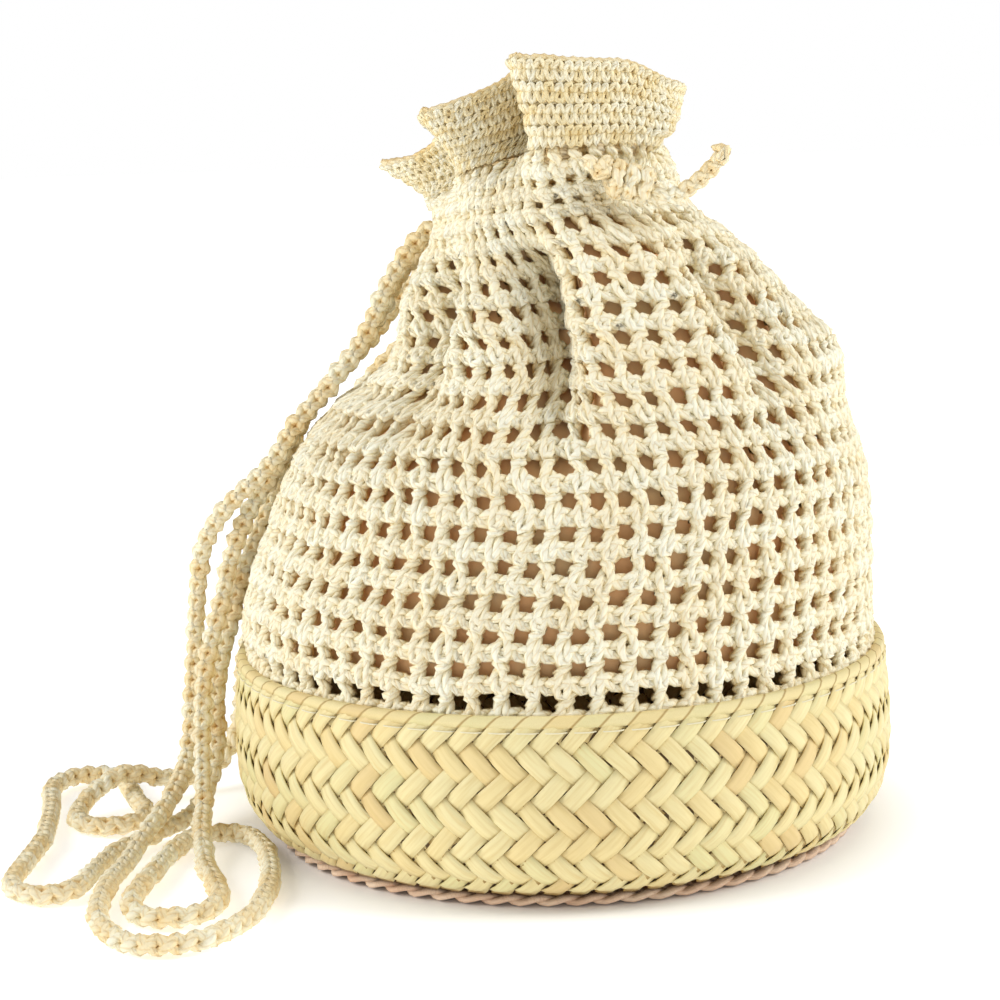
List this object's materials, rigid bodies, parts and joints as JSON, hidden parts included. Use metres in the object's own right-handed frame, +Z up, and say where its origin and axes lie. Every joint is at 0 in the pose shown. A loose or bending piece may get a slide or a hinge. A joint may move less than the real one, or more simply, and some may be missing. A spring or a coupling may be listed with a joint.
{
  "type": "crochet backpack",
  "caption": "Small drawstring backpack: open crochet cotton bag, gathered at the neck with a frill, on a low round plaited palm basket, with long cord straps.",
  "frame": {"origin": "middle of the underside of the basket, on the surface it stands on", "axes": "+Z up through the neck, -Y towards the front with the deep fold and the knot, +X to the right of that front"},
  "size_m": [0.3677, 0.3022, 0.3172],
  "materials": {
    "palm": "satin split palm leaf, pale straw with greenish and tan strips",
    "palm_edge": "matt plaited palm leaf, pinkish brown",
    "cotton": "matt undyed cotton cord, worked in open crochet",
    "cotton_cord": "matt undyed cotton, worked into round cord",
    "lining_cloth": "plain tan cotton cloth, seen only through the mesh"
  },
  "bodies": {
    "root": {"basket_base": "palm_edge", "basket_wall": "palm", "crochet_body": "cotton", "lining": "lining_cloth", "frill": "cotton", "neck_cord": "cotton_cord", "neck_cord_knot": "cotton_cord", "strap_a": "cotton_cord", "strap_b": "cotton_cord"}
  },
  "joints": []
}
